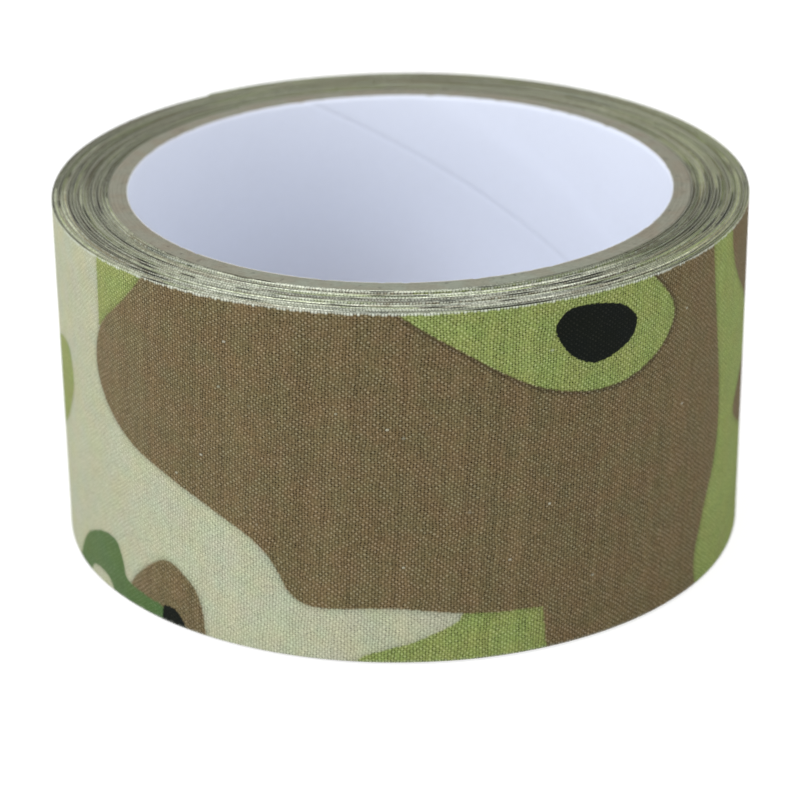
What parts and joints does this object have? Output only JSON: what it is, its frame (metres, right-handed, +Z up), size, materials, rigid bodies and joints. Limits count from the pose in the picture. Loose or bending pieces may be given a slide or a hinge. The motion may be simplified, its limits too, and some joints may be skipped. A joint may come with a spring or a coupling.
{
  "type": "duct tape roll",
  "caption": "Roll of camouflage-printed woven cloth adhesive tape wound on a spiral-wound paper core with a white liner; the free end of the tape peels away from the roll.",
  "frame": {"origin": "on the roll's axis, in the plane of the end face it stands on", "axes": "+Z up along the bore axis; -Y towards the front; the free end of the tape lies at the back, on the +Y side, and the tape is wound anticlockwise seen from above"},
  "size_m": [0.0973, 0.0976, 0.05],
  "materials": {
    "printed_cloth": "matt printed plain-weave cotton",
    "adhesive": "tacky, slightly glossy",
    "liner_paper": "smooth white paper",
    "kraft_board": "matt kraft board"
  },
  "bodies": {
    "roll": {"core_bore_liner": "liner_paper", "core_inner_ply": "kraft_board", "core_second_ply": "kraft_board", "core_third_ply": "kraft_board", "core_outer_ply": "kraft_board", "wound_adhesive": "adhesive", "wound_cloth": "printed_cloth"},
    "lead_1": {"lead_adhesive_1": "adhesive", "lead_cloth_1": "printed_cloth"},
    "lead_2": {"lead_adhesive_2": "adhesive", "lead_cloth_2": "printed_cloth"},
    "lead_3": {"lead_adhesive_3": "adhesive", "lead_cloth_3": "printed_cloth"},
    "lead_4": {"lead_adhesive_4": "adhesive", "lead_cloth_4": "printed_cloth"},
    "lead_5": {"lead_adhesive_5": "adhesive", "lead_cloth_5": "printed_cloth"},
    "lead_6": {"lead_adhesive_6": "adhesive", "lead_cloth_6": "printed_cloth"},
    "lead_7": {"lead_adhesive_7": "adhesive", "lead_cloth_7": "printed_cloth"},
    "lead_8": {"lead_adhesive_8": "adhesive", "lead_cloth_8": "printed_cloth"},
    "lead_9": {"lead_adhesive_9": "adhesive", "lead_cloth_9": "printed_cloth"},
    "lead_10": {"lead_adhesive_10": "adhesive", "lead_cloth_10": "printed_cloth"},
    "lead_11": {"lead_adhesive_11": "adhesive", "lead_cloth_11": "printed_cloth"},
    "lead_12": {"lead_adhesive_12": "adhesive", "lead_cloth_12": "printed_cloth"}
  },
  "joints": [
    {"name": "peel", "type": "hinge", "parent": "roll", "child": "lead_1", "pos_m": [0.02858, 0.03969, 0.025], "axis": [0, 0, -1], "range_deg": [0, 60]},
    {"name": "bend_2", "type": "hinge", "parent": "lead_1", "child": "lead_2", "pos_m": [0.02429, 0.04247, 0.025], "axis": [0, 0, -1], "range_deg": [0, 6]},
    {"name": "bend_3", "type": "hinge", "parent": "lead_2", "child": "lead_3", "pos_m": [0.01974, 0.0448, 0.025], "axis": [0, 0, -1], "range_deg": [0, 6]},
    {"name": "bend_4", "type": "hinge", "parent": "lead_3", "child": "lead_4", "pos_m": [0.01496, 0.04663, 0.025], "axis": [0, 0, -1], "range_deg": [0, 6]},
    {"name": "bend_5", "type": "hinge", "parent": "lead_4", "child": "lead_5", "pos_m": [0.01003, 0.04795, 0.025], "axis": [0, 0, -1], "range_deg": [0, 6]},
    {"name": "bend_6", "type": "hinge", "parent": "lead_5", "child": "lead_6", "pos_m": [0.00498, 0.04875, 0.025], "axis": [0, 0, -1], "range_deg": [0, 6]},
    {"name": "bend_7", "type": "hinge", "parent": "lead_6", "child": "lead_7", "pos_m": [-0.00013, 0.04902, 0.025], "axis": [0, 0, -1], "range_deg": [0, 6]},
    {"name": "bend_8", "type": "hinge", "parent": "lead_7", "child": "lead_8", "pos_m": [-0.00523, 0.04875, 0.025], "axis": [0, 0, -1], "range_deg": [0, 6]},
    {"name": "bend_9", "type": "hinge", "parent": "lead_8", "child": "lead_9", "pos_m": [-0.01028, 0.04795, 0.025], "axis": [0, 0, -1], "range_deg": [0, 6]},
    {"name": "bend_10", "type": "hinge", "parent": "lead_9", "child": "lead_10", "pos_m": [-0.01522, 0.04663, 0.025], "axis": [0, 0, -1], "range_deg": [0, 6]},
    {"name": "bend_11", "type": "hinge", "parent": "lead_10", "child": "lead_11", "pos_m": [-0.01999, 0.0448, 0.025], "axis": [0, 0, -1], "range_deg": [0, 6]},
    {"name": "bend_12", "type": "hinge", "parent": "lead_11", "child": "lead_12", "pos_m": [-0.02455, 0.04247, 0.025], "axis": [0, 0, -1], "range_deg": [0, 6]}
  ],
  "couplings": [
    {"joint": "bend_2", "follows": "peel", "ratio": 0.1},
    {"joint": "bend_3", "follows": "peel", "ratio": 0.1},
    {"joint": "bend_4", "follows": "peel", "ratio": 0.1},
    {"joint": "bend_5", "follows": "peel", "ratio": 0.1},
    {"joint": "bend_6", "follows": "peel", "ratio": 0.1},
    {"joint": "bend_7", "follows": "peel", "ratio": 0.1},
    {"joint": "bend_8", "follows": "peel", "ratio": 0.1},
    {"joint": "bend_9", "follows": "peel", "ratio": 0.1},
    {"joint": "bend_10", "follows": "peel", "ratio": 0.1},
    {"joint": "bend_11", "follows": "peel", "ratio": 0.1},
    {"joint": "bend_12", "follows": "peel", "ratio": 0.1}
  ]
}
